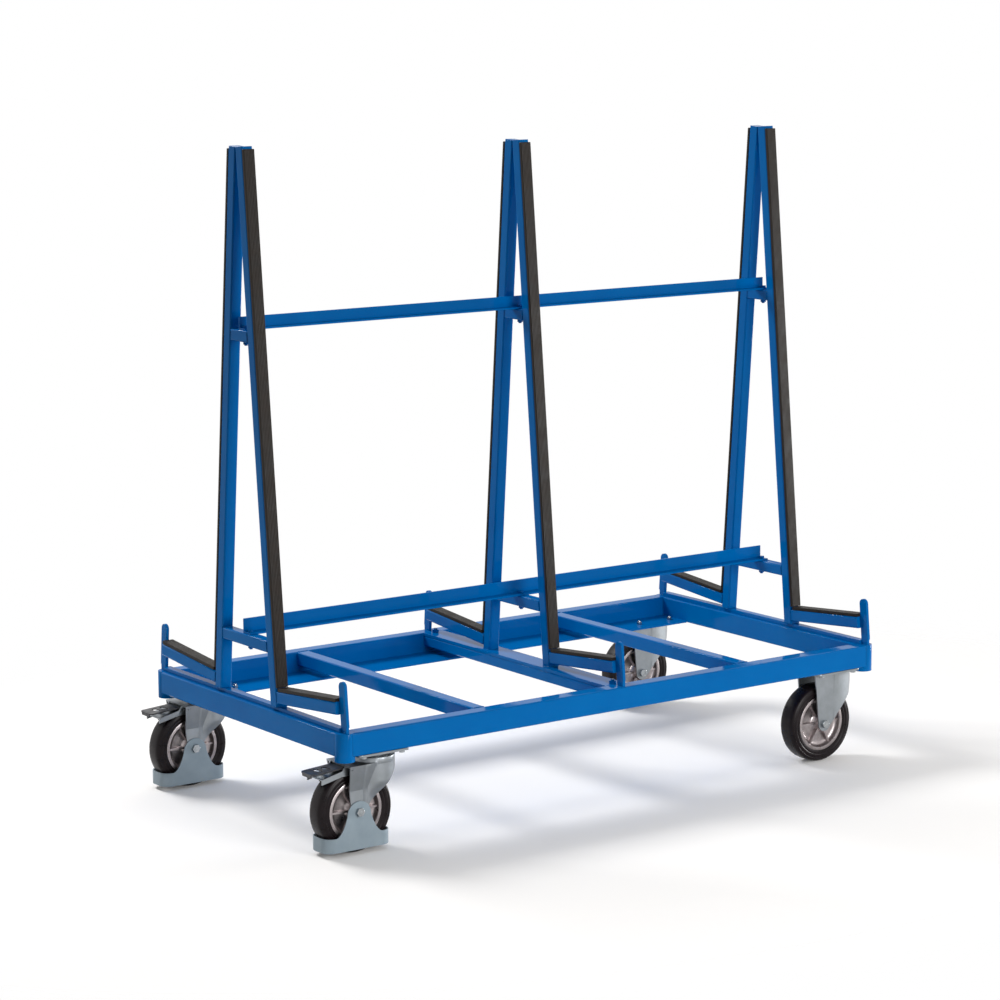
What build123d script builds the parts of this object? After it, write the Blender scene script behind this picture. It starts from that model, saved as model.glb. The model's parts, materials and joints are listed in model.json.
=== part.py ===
from build123d import *
from math import atan2, cos, degrees, radians, sin, sqrt, tan
import os

# Panel cart: a low steel frame on four casters that carries three A-frames.
# Panels stand on the padded arms of the A-frames and lean on the padded posts.
# Millimetres. X runs along the cart, Y across it, Z up, the floor is Z zero.
# The origin lies on the floor under the middle of the whole outline. The lengths
# below are taken from the middle of the base frame and moved there on writing.

# Base frame
overall_length = 1630.0
overall_width = 870.0
beam_height = 56.0
beam_width = 40.0
beam_wall = 3.0
beam_corner = 4.0
corner_tube_radius = 24.15
corner_tube_wall = 3.0
corner_tube_drop = 12.0
corner_tube_proud = 1.0
corner_gap = 1.0
ledge_width = 105.0
ledge_thickness = 5.0
cross_height = 35.0
cross_width = 35.0
middle_cross_width = 60.0

# A-frames
frame_top = 1612.0
post_gap = 0.3
lean_angle = 5.0
tube_size = 30.0
tube_wall = 2.5
tube_corner = 4.0
end_cap_thickness = 3.0
arm_gap = 8.0
stop_inset = 7.7
base_bar_width = 20.0
base_bar_thickness = 10.0
middle_bar_thickness = 8.0
pad_thickness = 8.0
pad_top_margin = 7.0
pad_edge = 1.5
stop_width = 25.0
stop_thickness = 8.0
stop_rise = 46.0
stop_notch = 5.0
stop_neck_height = 14.0
tie_height = 28.0

# Rails
rail_inset = 6.0
upper_rail_leg = 30.0
lower_rail_leg = 35.0
rail_thickness = 4.0
upper_rail_drop = 431.0
lower_rail_rise = 114.0
upper_rail_back_y = 8.0
lower_rail_back_y = 14.0

# Fasteners, as bolt radius, width across flats, head height and nut height
rail_bolt_radius = 4.0
rail_bolt_flats = 13.0
rail_bolt_head = 5.3
rail_bolt_nut = 6.5
caster_bolt_radius = 4.0
caster_bolt_flats = 13.0
caster_bolt_head = 5.3
caster_bolt_nut = 6.5
frame_bolt_radius = 5.0
frame_bolt_flats = 17.0
frame_bolt_head = 6.4
frame_bolt_nut = 8.0
frame_bolt_inset = 10.0
thread_end = 3.0
hole_clearance = 0.5

# Casters
caster_inset = 120.0
caster_bolt_inset = 11.0
caster_head_room = 35.0
plate_end = 17.5
plate_edge = 10.0
plate_thickness = 5.0
plate_corner = 10.0
plate_hole_x = 105.0
plate_hole_y = 90.0
swivel_trail = 62.0
fixed_trail = 35.0
wheel_radius = 100.0
wheel_width = 50.0
tyre_depth = 29.0
tyre_shoulder = 8.0
rim_depth = 9.0
rim_inset = 2.0
rim_web = 6.0
rim_rib_width = 5.0
rim_rib_depth = 16.0
rim_rib_count = 6
hub_radius = 16.0
axle_radius = 6.0
axle_flats = 19.0
axle_head = 7.5
axle_nut = 10.0
running_gap = 0.05
side_gap = 0.4

# Pressed fork of a caster
fork_wall = 4.0
fork_side_room = 7.0
crown_radius = 52.0
crown_disc = 9.7
crown_roof = 4.0
fork_boss_radius = 19.0
fork_shoulder_rise = 50.0
fork_foot_drop = 22.0
swivel_curve_x = 12.0
swivel_lip = 8.0
swivel_cheek_x = 84.0
swivel_cheek_drop = 39.0
swivel_knee_x = 33.0
swivel_knee_rise = 20.0
fixed_curve_x = 30.0
fixed_round_x = 112.0
fixed_front_x = 101.0
fixed_back_x = -31.0
fixed_lip = 28.0
fixed_cheek_x = 93.0
fixed_cheek_drop = 64.0
fixed_knee_x = 44.0
fixed_knee_rise = 21.0
tyre_clearance = 5.0
tyre_side_clearance = 2.0
race_radius = 40.0
race_height = 8.0
kingpin_radius = 10.0
kingpin_flange_radius = 16.0
kingpin_flange_height = 7.0

# Brake of a swivel caster
pedal_hinge_x = -24.0
pedal_hinge_rise = 6.0
pedal_pin_radius = 3.5
pedal_thickness = 3.0
pedal_side_gap = 2.5
pedal_overhang = 22.0
pedal_tilt = 4.0
pedal_corner = 9.0
pedal_lip = 6.0
pedal_slot_length = 30.0
pedal_slot_width = 13.0
pedal_slot_inset = 31.0
pedal_slot_pitch = 22.0
housing_wall = 3.0
housing_roof = 2.5
housing_nose = 5.0
housing_tail = 23.0
housing_start_drop = 0.0
housing_end_drop = 12.0
housing_depth = 12.6
shoe_place_share = 0.6
shoe_length = 26.0
shoe_half_width = 18.0
shoe_gap = 2.5
shoe_stem_radius = 4.0
shoe_stem_rise = 7.0

# Foot guard of a swivel caster
guard_wall = 3.0
guard_bottom_z = 12.0
guard_band_top_z = 46.0
guard_end_gap = 2.8
guard_end_radius = 26.0
guard_ear_radius = 32.0
guard_ear_drop = 7.0
guard_waist_half = 38.0
guard_waist_z = 72.0
guard_hip_half = 50.0

overrun = 2.0
half_turn = 180.0

# Derived places
caster_height = 2 * wheel_radius + caster_head_room
plate_length = plate_hole_x + 2 * plate_end
plate_width = plate_hole_y + 2 * plate_edge
swivel_x = caster_inset - overall_length / 2
fixed_x = overall_length / 2 - caster_inset
tyre_inner_radius = wheel_radius - tyre_depth
rim_inner_radius = tyre_inner_radius - rim_depth
rim_width = wheel_width - 2 * rim_inset
shoe_middle_x = -shoe_place_share * wheel_radius
shoe_front_x = shoe_middle_x + shoe_length / 2
shoe_rear_x = shoe_middle_x - shoe_length / 2
housing_start_x = shoe_front_x + housing_nose
housing_end_x = shoe_rear_x - housing_tail
fork_half_width = wheel_width / 2 + fork_side_room + fork_wall
housing_half_width = fork_half_width - housing_wall
pedal_half_width = housing_half_width - housing_wall - pedal_side_gap
pedal_tip_x = housing_end_x - pedal_overhang
pedal_reach = pedal_hinge_x - pedal_tip_x
pedal_hinge_z = 2 * wheel_radius + pedal_hinge_rise
housing_start_z = 2 * wheel_radius - housing_start_drop
housing_end_z = 2 * wheel_radius - housing_end_drop
fork_back_x = pedal_hinge_x - 2 * pedal_pin_radius
guard_chord = sqrt(wheel_radius**2 - (wheel_radius - guard_band_top_z) ** 2)
guard_half_length = guard_chord + guard_end_gap + guard_wall
beam_top = caster_height + beam_height
beam_face_x = overall_length / 2 - corner_tube_proud
beam_face_y = overall_width / 2 - corner_tube_proud
corner_x = overall_length / 2 - corner_tube_radius
corner_y = overall_width / 2 - corner_tube_radius
beam_inner_x = beam_face_x - beam_width
beam_inner_y = beam_face_y - beam_width
bar_top = beam_top + base_bar_thickness
arm_foot_z = bar_top + arm_gap + tube_size
upper_rail_z = frame_top - upper_rail_drop
lower_rail_z = arm_foot_z + lower_rail_rise
lean = radians(lean_angle)
post_length = (frame_top - arm_foot_z) / cos(lean)
pedal_turn = radians(pedal_tilt)
pedal_run = pedal_reach * cos(pedal_turn) + pedal_thickness / 2 * sin(pedal_turn)
reach_x = swivel_x - swivel_trail + pedal_hinge_x - pedal_run
centre_shift = -(reach_x + overall_length / 2) / 2
frame_offset = beam_face_x - beam_width / 2
cross_offset = (beam_inner_x + cross_width) / 2
rail_length = 2 * (frame_offset - rail_inset) + tube_size
caster_y = beam_face_y - caster_bolt_inset - plate_hole_y / 2
post_top_y = tube_size * cos(lean) + post_gap / 2
arm_foot_y = post_top_y + (frame_top - arm_foot_z) * tan(lean)
arm_length = (overall_width / 2 - stop_inset - arm_foot_y) / cos(lean) - stop_width
sides = (-1, 1)


def write(name, *solids):
    """Writes one named sub-part, one or more separate solids."""
    placed = [Pos(centre_shift, 0, 0) * solid for solid in solids]
    shape = Compound(children=placed) if len(placed) > 1 else placed[0]
    export_step(shape, f"parts/{name}.step")


def block(x0, x1, y0, y1, z0, z1):
    middle = Pos((x0 + x1) / 2, (y0 + y1) / 2, (z0 + z1) / 2)
    return middle * Box(x1 - x0, y1 - y0, z1 - z0)


def rod(radius, x, y, z0, z1):
    return Pos(x, y, (z0 + z1) / 2) * Cylinder(radius, z1 - z0)


def cross_rod(radius, x, z, y0, y1):
    """A round bar along Y."""
    return Pos(x, (y0 + y1) / 2, z) * Rot(90, 0, 0) * Cylinder(radius, y1 - y0)


def hexagon(flats, height, x, y, z):
    """A hexagonal head or nut that stands on height z."""
    profile = RegularPolygon(flats / 2, side_count=6, major_radius=False)
    return Pos(x, y, z) * extrude(profile, amount=height)


def tube_profile(width, depth, wall, corner):
    outer = RectangleRounded(width, depth, corner)
    inner = RectangleRounded(width - 2 * wall, depth - 2 * wall, corner - wall)
    return outer - inner


def ring_of(solid):
    """The single solid of a boolean result."""
    return solid.solids()[0]


# Base frame


def caster_places():
    for side in sides:
        yield swivel_x, side * caster_y
        yield fixed_x, side * caster_y


def plate_holes():
    for x, y in caster_places():
        for i in sides:
            for j in sides:
                yield x + i * plate_hole_x / 2, y + j * plate_hole_y / 2


def drill(solid, z0, z1):
    for x, y in plate_holes():
        solid = solid - rod(caster_bolt_radius + hole_clearance, x, y, z0, z1)
    return solid


def corner_cutters(radius):
    return [
        rod(radius, i * corner_x, j * corner_y, -overrun, beam_top + overrun)
        for i in sides
        for j in sides
    ]


def long_beam(side):
    profile = tube_profile(beam_width, beam_height, beam_wall, beam_corner)
    middle_y = side * (beam_face_y - beam_width / 2)
    middle_z = caster_height + beam_height / 2
    start = Plane(origin=(-corner_x, middle_y, middle_z), x_dir=(0, 1, 0), z_dir=(1, 0, 0))
    beam = extrude(start * profile, amount=2 * corner_x)
    for cutter in corner_cutters(corner_tube_radius):
        beam = beam - cutter
    return drill(beam, caster_height - overrun, caster_height + beam_wall + overrun)


def end_beam(side):
    profile = tube_profile(beam_width, beam_height, beam_wall, beam_corner)
    middle_x = side * (beam_face_x - beam_width / 2)
    middle_z = caster_height + beam_height / 2
    start = Plane(origin=(middle_x, -corner_y, middle_z), x_dir=(-1, 0, 0), z_dir=(0, 1, 0))
    beam = extrude(start * profile, amount=2 * corner_y)
    for cutter in corner_cutters(corner_tube_radius):
        beam = beam - cutter
    return beam


def corner_tube(i, j):
    low = caster_height - corner_tube_drop
    inner = corner_tube_radius - corner_tube_wall
    tube = rod(corner_tube_radius, i * corner_x, j * corner_y, low, beam_top)
    return tube - rod(inner, i * corner_x, j * corner_y, low - overrun, beam_top - corner_tube_wall)


def ledge(side):
    near = side * beam_inner_y
    far = side * (beam_inner_y - ledge_width)
    low, high = min(near, far), max(near, far)
    top = caster_height + ledge_thickness
    strip = block(-beam_inner_x, beam_inner_x, low, high, caster_height, top)
    for cutter in corner_cutters(corner_tube_radius + corner_gap):
        strip = strip - cutter
    return drill(strip, caster_height - overrun, top + overrun)


def cross_beam(x, width, top):
    height = top - (beam_top - cross_height)
    profile = tube_profile(width, height, tube_wall, tube_corner)
    start = Plane(origin=(x, -beam_inner_y, top - height / 2), x_dir=(-1, 0, 0), z_dir=(0, 1, 0))
    return extrude(start * profile, amount=2 * beam_inner_y)


def frame_bolt_places():
    reach = beam_inner_y - frame_bolt_inset
    return [(0, side * reach) for side in sides]


def build_base():
    write("front_beam", long_beam(-1))
    write("rear_beam", long_beam(1))
    write("left_end_beam", end_beam(-1))
    write("right_end_beam", end_beam(1))
    write("corner_tubes", *[corner_tube(i, j) for i in sides for j in sides])
    write("ledge_strips", *[ledge(side) for side in sides])
    write("left_cross_beam", cross_beam(-cross_offset, cross_width, beam_top))
    write("right_cross_beam", cross_beam(cross_offset, cross_width, beam_top))
    middle = cross_beam(0, middle_cross_width, beam_top - middle_bar_thickness)
    for x, y in frame_bolt_places():
        middle = middle - rod(frame_bolt_radius + hole_clearance, x, y, caster_height, beam_top)
    write("middle_cross_beam", middle)


# A-frames, in a leaning frame whose local Y points outwards along the arm


def foot_plane(x, side, drop):
    """Local Z runs up the post and local Y runs towards the side's outside or, in front, inside."""
    origin = (x, side * arm_foot_y, arm_foot_z - drop)
    return Plane(origin=origin, x_dir=(1, 0, 0), z_dir=(0, -side * sin(lean), cos(lean)))


def lean_block(plane, side, half_x, out0, out1, up0, up1):
    low, high = sorted((side * out0, side * out1))
    return plane * block(-half_x, half_x, low, high, up0, up1)


def below(z):
    return block(-overall_length, overall_length, -overall_width, overall_width, -frame_top, z)


def post(plane, side, floor_z):
    start = plane * Pos(0, -side * tube_size / 2, -arm_foot_z)
    profile = tube_profile(tube_size, tube_size, tube_wall, tube_corner)
    tube = extrude(start * profile, amount=arm_foot_z + post_length)
    cap_start = plane * Pos(0, -side * tube_size / 2, post_length - end_cap_thickness)
    cap = extrude(cap_start * RectangleRounded(tube_size, tube_size, tube_corner), amount=end_cap_thickness)
    return ring_of((tube + cap) - below(floor_z))


def arm(plane, side):
    start = Plane(
        origin=plane.from_local_coords(Vector(0, 0, -tube_size / 2)),
        x_dir=(1, 0, 0),
        z_dir=side * plane.y_dir,
    )
    return extrude(start * tube_profile(tube_size, tube_size, tube_wall, tube_corner), amount=arm_length)


def pads(plane, side):
    half = tube_size / 2
    top = post_length - pad_top_margin
    on_post = lean_block(plane, side, half, 0, pad_thickness, pad_thickness, top)
    on_arm = lean_block(plane, side, half, pad_thickness, arm_length, 0, pad_thickness)
    upright = Axis((0, 0, 0), plane.z_dir)
    outer = sorted(on_post.edges().filter_by(upright), key=lambda edge: side * edge.center().Y)[-2:]
    return [fillet(outer, pad_edge), on_arm]


def end_stop(plane, side, floor_z):
    """A flat bar with a round top, notched at its foot."""
    near = arm_length
    far = arm_length + stop_width
    round_z = stop_rise - stop_width / 2
    bar = lean_block(plane, side, stop_thickness / 2, near, far, -arm_foot_z, round_z)
    middle = side * (near + far) / 2
    top = plane * Pos(0, middle, round_z) * Rot(0, 90, 0) * Cylinder(stop_width / 2, stop_thickness)
    bar = (bar + top) - below(floor_z)
    notch = block(
        -overall_length,
        overall_length,
        *sorted((side * overall_width, side * (overall_width / 2 - stop_notch))),
        floor_z - overrun,
        floor_z + stop_neck_height,
    )
    return ring_of(bar - notch)


def tie(x, drop, top):
    """A cross tube between the two posts, with both ends cut to their lean."""
    profile = tube_profile(tube_size, tie_height, tube_wall, tube_corner)
    start = Plane(origin=(x, -arm_foot_y, top - tie_height / 2), x_dir=(-1, 0, 0), z_dir=(0, 1, 0))
    bar = extrude(start * profile, amount=2 * arm_foot_y)
    for side in sides:
        plane = foot_plane(x, side, drop)
        bar = bar - lean_block(plane, side, tube_size, -tube_size, overall_width, -arm_foot_z, frame_top)
    return bar - rail_bolt_hole(x, top)


def rail_bolt_y(top):
    if top == upper_rail_z:
        return upper_rail_back_y - (upper_rail_leg + rail_thickness) / 2
    return lower_rail_back_y - (lower_rail_leg + rail_thickness) / 2


def rail_bolt_hole(x, top):
    radius = rail_bolt_radius + hole_clearance
    return rod(radius, x, rail_bolt_y(top), top - tie_height - overrun, top + rail_thickness + overrun)


def base_bar(x):
    half = base_bar_width / 2
    bar = block(x - half, x + half, -beam_face_y, beam_face_y, beam_top, bar_top)
    for side in sides:
        plane = foot_plane(x, side, 0)
        bar = bar - lean_block(plane, side, tube_size, arm_length, overall_width, -arm_foot_z, 0)
    return bar


def middle_bar():
    half = middle_cross_width / 2
    bar = block(-half, half, -beam_inner_y, beam_inner_y, beam_top - middle_bar_thickness, beam_top)
    for x, y in frame_bolt_places():
        bar = bar - rod(frame_bolt_radius + hole_clearance, x, y, caster_height, bar_top)
    return bar


def build_frame(name, x):
    is_middle = x == 0
    drop = base_bar_thickness if is_middle else 0
    post_floor = beam_top if is_middle else bar_top
    planes = {side: foot_plane(x, side, drop) for side in sides}
    write(f"{name}_front_post", post(planes[-1], -1, post_floor))
    write(f"{name}_rear_post", post(planes[1], 1, post_floor))
    write(f"{name}_arms", *[arm(planes[side], side) for side in sides])
    write(f"{name}_pads", *[pad for side in sides for pad in pads(planes[side], side)])
    write(f"{name}_end_stops", *[end_stop(planes[side], side, beam_top) for side in sides])
    write(f"{name}_ties", tie(x, drop, upper_rail_z), tie(x, drop, lower_rail_z))
    write(f"{name}_base_bar", middle_bar() if is_middle else base_bar(x))


# Rails


def rail(leg, back_y, low):
    half = rail_length / 2
    flange = block(-half, half, back_y - leg, back_y, low, low + rail_thickness)
    upright = block(-half, half, back_y - rail_thickness, back_y, low, low + leg)
    angle = flange + upright
    for x in (-frame_offset, 0, frame_offset):
        angle = angle - rail_bolt_hole(x, low)
    return angle


def build_rails():
    write("upper_rail", rail(upper_rail_leg, upper_rail_back_y, upper_rail_z))
    write("lower_rail", rail(lower_rail_leg, lower_rail_back_y, lower_rail_z))


# Fasteners


def bolt_down(radius, flats, head, nut, x, y, seat, grip):
    """A bolt with its head on height seat and its nut below the gripped parts."""
    low = seat - grip
    nut_low = low - nut
    bolt = hexagon(flats, head, x, y, seat) + rod(radius, x, y, nut_low - thread_end, seat)
    collar = hexagon(flats, nut, x, y, nut_low) - rod(radius, x, y, nut_low - overrun, low + overrun)
    return [bolt, collar]


def bolt_up(radius, flats, head, nut, x, y, seat, grip):
    """A bolt with its head under height seat and its nut above the gripped parts."""
    high = seat + grip
    nut_high = high + nut
    bolt = hexagon(flats, head, x, y, seat - head) + rod(radius, x, y, seat, nut_high + thread_end)
    collar = hexagon(flats, nut, x, y, high) - rod(radius, x, y, high - overrun, nut_high + overrun)
    return [bolt, collar]


def build_fasteners():
    rail_bolts = []
    for x in (-frame_offset, 0, frame_offset):
        for top in (upper_rail_z, lower_rail_z):
            rail_bolts += bolt_down(
                rail_bolt_radius, rail_bolt_flats, rail_bolt_head, rail_bolt_nut,
                x, rail_bolt_y(top), top + rail_thickness, rail_thickness + tie_height,
            )
    frame_bolts = []
    for x, y in frame_bolt_places():
        frame_bolts += bolt_up(
            frame_bolt_radius, frame_bolt_flats, frame_bolt_head, frame_bolt_nut,
            x, y, beam_top - cross_height, cross_height,
        )
    write("frame_bolts", *rail_bolts, *frame_bolts)
    caster_bolts = []
    for x, y in plate_holes():
        lid = beam_wall if abs(y) > beam_inner_y else ledge_thickness
        caster_bolts += bolt_up(
            caster_bolt_radius, caster_bolt_flats, caster_bolt_head, caster_bolt_nut,
            x, y, caster_height - plate_thickness, plate_thickness + lid,
        )
    write("caster_bolts", *caster_bolts)


# Casters, in a frame with its origin on the floor under the axle


def fork_section(z, centre_x, reach, half, back):
    """A D-shaped face: a half ellipse in front, straight sides and an open back."""
    front = EllipticalCenterArc((centre_x, 0), reach, half, start_angle=-half_turn / 2, arc_size=half_turn)
    rim = [
        Line((back, -half), (centre_x, -half)),
        front,
        Line((centre_x, half), (back, half)),
        Line((back, half), (back, -half)),
    ]
    return Pos(0, 0, z) * make_face(rim)


def fork_outline(front_x, roof, lip_z, cheek, knee, back_top):
    """Side view of the two legs, with the boss around the axle."""
    dip = fork_boss_radius * sin(radians(half_turn / 4))
    points = [
        (front_x + overrun, roof),
        (front_x + overrun, lip_z),
        cheek,
        knee,
        (dip, wheel_radius - dip),
        (-dip, wheel_radius - dip),
        (-fork_boss_radius, wheel_radius),
        (back_top, roof),
    ]
    sketch = make_face(Polyline(*points, close=True)) + Pos(0, wheel_radius) * Circle(fork_boss_radius)
    return extrude(Plane.XZ * sketch, amount=crown_radius + overrun, both=True)


def pressed_fork(curve_x, round_x, front_x, top_half, roof, lip_z, cheek, knee, back_top):
    """Two legs drawn down from a roof, with round cheeks in front."""
    heights = (roof, wheel_radius + fork_shoulder_rise, wheel_radius - fork_foot_drop)
    halves = (top_half, fork_half_width, fork_half_width)
    reach = round_x - curve_x
    outer = loft(
        [fork_section(z, curve_x, reach, half, back_top) for z, half in zip(heights, halves)],
        ruled=True,
    )
    hollow_heights = (roof - crown_roof, heights[1], heights[2] - overrun)
    hollow_back = back_top - crown_radius
    inner = loft(
        [
            fork_section(z, curve_x, reach - fork_wall, half - fork_wall, hollow_back)
            for z, half in zip(hollow_heights, halves)
        ],
        ruled=True,
    )
    shell = (outer - inner) & fork_outline(front_x, roof, lip_z, cheek, knee, back_top)
    room_half = wheel_width / 2 + tyre_side_clearance
    tyre_room = cross_rod(wheel_radius + tyre_clearance, 0, wheel_radius, -room_half, room_half)
    axle_hole = cross_rod(axle_radius + running_gap, 0, wheel_radius, -crown_radius, crown_radius)
    return ring_of(shell - tyre_room - axle_hole)


def rim():
    half_rim = rim_width / 2
    half_hub = fork_half_width - fork_wall - side_gap
    ring = cross_rod(tyre_inner_radius, 0, wheel_radius, -half_rim, half_rim)
    ring = ring - cross_rod(rim_inner_radius, 0, wheel_radius, -wheel_width, wheel_width)
    web = cross_rod(rim_inner_radius + overrun, 0, wheel_radius, -rim_web / 2, rim_web / 2)
    body = ring + web + cross_rod(hub_radius, 0, wheel_radius, -half_hub, half_hub)
    for index in range(rim_rib_count):
        half = rim_rib_width / 2
        spoke = block(0, rim_inner_radius + overrun, -rim_rib_depth, rim_rib_depth, -half, half)
        turn = Rot(0, 2 * index * half_turn / rim_rib_count, 0)
        body = body + Pos(0, 0, wheel_radius) * turn * spoke
    return body - cross_rod(axle_radius + running_gap, 0, wheel_radius, -wheel_width, wheel_width)


def tyre():
    half = wheel_width / 2
    solid = cross_rod(wheel_radius, 0, wheel_radius, -half, half)
    shoulders = [edge for edge in solid.edges().filter_by(GeomType.CIRCLE)]
    solid = fillet(shoulders, tyre_shoulder)
    return solid - cross_rod(tyre_inner_radius, 0, wheel_radius, -wheel_width, wheel_width)


def axle(grip_half):
    """An axle bolt with its head in front and its nut behind."""
    shank = cross_rod(axle_radius, 0, wheel_radius, -grip_half, grip_half + axle_nut + thread_end)
    head_place = Pos(0, -grip_half, wheel_radius) * Rot(90, 0, 0)
    head = head_place * hexagon(axle_flats, axle_head, 0, 0, 0)
    nut_place = Pos(0, grip_half, wheel_radius) * Rot(-90, 0, 0)
    nut = nut_place * hexagon(axle_flats, axle_nut, 0, 0, 0)
    nut = nut - cross_rod(axle_radius, 0, wheel_radius, grip_half - overrun, grip_half + axle_nut + overrun)
    return [shank + head, nut]


def mounting_plate(x):
    low = caster_height - plate_thickness
    outline = RectangleRounded(plate_length, plate_width, plate_corner)
    plate = Pos(x, 0, low) * extrude(outline, amount=plate_thickness)
    for i in sides:
        for j in sides:
            hole_x = x + i * plate_hole_x / 2
            hole_y = j * plate_hole_y / 2
            radius = caster_bolt_radius + hole_clearance
            plate = plate - rod(radius, hole_x, hole_y, low - overrun, caster_height + overrun)
    return plate


def fixed_bracket():
    roof = caster_height - plate_thickness
    fork = pressed_fork(
        curve_x=fixed_curve_x,
        round_x=fixed_round_x,
        front_x=fixed_front_x,
        top_half=fork_half_width,
        roof=roof + overrun,
        lip_z=roof - fixed_lip,
        cheek=(fixed_cheek_x, roof - fixed_cheek_drop),
        knee=(fixed_knee_x, wheel_radius + fixed_knee_rise),
        back_top=fixed_back_x,
    )
    return ring_of(fork + mounting_plate(fixed_trail))


def swivel_plate():
    """The plate with its race ring and the kingpin that carries the fork."""
    low = caster_height - plate_thickness
    race_low = low - race_height
    crown_low = race_low - side_gap - crown_disc
    x = swivel_trail
    body = mounting_plate(x) + rod(race_radius, x, 0, race_low, low)
    pin_low = crown_low - side_gap
    body = body + rod(kingpin_radius, x, 0, pin_low, race_low)
    return body + rod(kingpin_flange_radius, x, 0, pin_low - kingpin_flange_height, pin_low)


def housing_wall_plate(side):
    """A side wall of the brake housing, with the lug for the pedal pin."""
    roof = caster_height - plate_thickness - race_height - side_gap - crown_disc
    depth = housing_depth
    lug = pedal_pin_radius + housing_wall
    points = [
        (pedal_hinge_x + 2 * lug, roof),
        (pedal_hinge_x - lug, roof),
        (housing_start_x, housing_start_z),
        (housing_end_x, housing_end_z),
        (housing_end_x, housing_end_z - depth),
        (housing_start_x, housing_start_z - depth),
        (pedal_hinge_x + 2 * lug, housing_start_z - depth),
    ]
    face = make_face(Polyline(*points, close=True))
    outer = housing_half_width
    start = side * outer
    wall = extrude(Plane.XZ.offset(-start) * face, amount=side * housing_wall)
    return wall


def brake_housing():
    walls = [housing_wall_plate(side) for side in sides]
    slope = (
        (housing_start_x, housing_start_z),
        (housing_end_x, housing_end_z),
        (housing_end_x, housing_end_z - housing_roof),
        (housing_start_x, housing_start_z - housing_roof),
    )
    face = make_face(Polyline(*slope, close=True))
    roof = extrude(Plane.XZ * face, amount=housing_half_width - housing_wall / 2, both=True)
    return walls[0] + walls[1] + roof


def shoe_direction():
    """The way the shoe travels, from its middle towards the axle."""
    rise = sqrt(wheel_radius**2 - shoe_middle_x**2)
    return -shoe_middle_x / wheel_radius, -rise / wheel_radius


def shoe_stem(radius, reach):
    """A round stem along the shoe's travel, centred where the travel line meets the tyre."""
    along_x, along_z = shoe_direction()
    start_radius = wheel_radius + shoe_gap + reach[0]
    length = reach[1] - reach[0]
    middle = start_radius + length / 2
    tilt = degrees(atan2(-along_x, -along_z))
    place = Pos(-along_x * middle, 0, wheel_radius - along_z * middle) * Rot(0, tilt, 0)
    return place * Cylinder(radius, length)


def swivel_fork():
    roof = caster_height - plate_thickness - race_height - side_gap - crown_disc
    fork = pressed_fork(
        curve_x=swivel_curve_x,
        round_x=swivel_trail + crown_radius,
        front_x=swivel_trail + crown_radius,
        top_half=crown_radius,
        roof=roof,
        lip_z=roof - swivel_lip,
        cheek=(swivel_cheek_x, roof - swivel_cheek_drop),
        knee=(swivel_knee_x, wheel_radius + swivel_knee_rise),
        back_top=fork_back_x,
    )
    disc = rod(crown_radius, swivel_trail, 0, roof - crown_roof, roof + crown_disc)
    fork = fork + disc + brake_housing()
    fork = fork - rod(kingpin_radius + running_gap, swivel_trail, 0, roof - wheel_width, roof + wheel_width)
    flange_room = kingpin_flange_height + side_gap
    fork = fork - rod(kingpin_flange_radius + side_gap, swivel_trail, 0, roof - flange_room, roof)
    pin_hole = pedal_pin_radius + running_gap
    fork = fork - cross_rod(pin_hole, pedal_hinge_x, pedal_hinge_z, -wheel_width, wheel_width)
    return ring_of(fork - shoe_stem(shoe_stem_radius + side_gap, (0, wheel_width)))


def pedal():
    """A stamped plate on a cross pin, with a turned-down tip and two slots."""
    half = pedal_half_width
    low = pedal_hinge_z - pedal_thickness / 2
    high = pedal_hinge_z + pedal_thickness / 2
    plate = block(pedal_tip_x, pedal_hinge_x, -half, half, low, high)
    corners = plate.edges().filter_by(Axis.Z).sort_by(Axis.X)[:2]
    plate = fillet(corners, pedal_corner)
    opening = SlotOverall(pedal_slot_length, pedal_slot_width, rotation=half_turn / 2)
    slot = extrude(opening, amount=2 * pedal_thickness)
    for index in (0, 1):
        slot_x = pedal_tip_x + pedal_slot_inset + index * pedal_slot_pitch
        plate = plate - Pos(slot_x, 0, low - pedal_thickness / 2) * slot
    lip_half = half - pedal_corner
    lip_x = pedal_tip_x + pedal_thickness
    plate = plate + block(pedal_tip_x, lip_x, -lip_half, lip_half, low - pedal_lip, high)
    hinge = Pos(pedal_hinge_x, 0, pedal_hinge_z)
    plate = hinge * Rot(0, -pedal_tilt, 0) * Pos(-pedal_hinge_x, 0, -pedal_hinge_z) * plate
    reach = housing_half_width
    return plate + cross_rod(pedal_pin_radius, pedal_hinge_x, pedal_hinge_z, -reach, reach)


def brake_shoe():
    """A block over the tyre with a stem through the housing roof."""
    slope = (housing_start_z - housing_end_z) / (housing_start_x - housing_end_x)

    def underside(x):
        return housing_end_z + slope * (x - housing_end_x) - housing_roof - side_gap

    points = [
        (shoe_front_x, underside(shoe_front_x)),
        (shoe_rear_x, underside(shoe_rear_x)),
        (shoe_rear_x, wheel_radius),
        (shoe_front_x, wheel_radius),
    ]
    face = make_face(Polyline(*points, close=True))
    solid = extrude(Plane.XZ * face, amount=shoe_half_width, both=True)
    solid = solid - cross_rod(wheel_radius + shoe_gap, 0, wheel_radius, -wheel_width, wheel_width)
    thickness = shoe_stem_rise / 2
    return ring_of(solid + shoe_stem(shoe_stem_radius, (thickness, 2 * shoe_stem_rise)))


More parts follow.
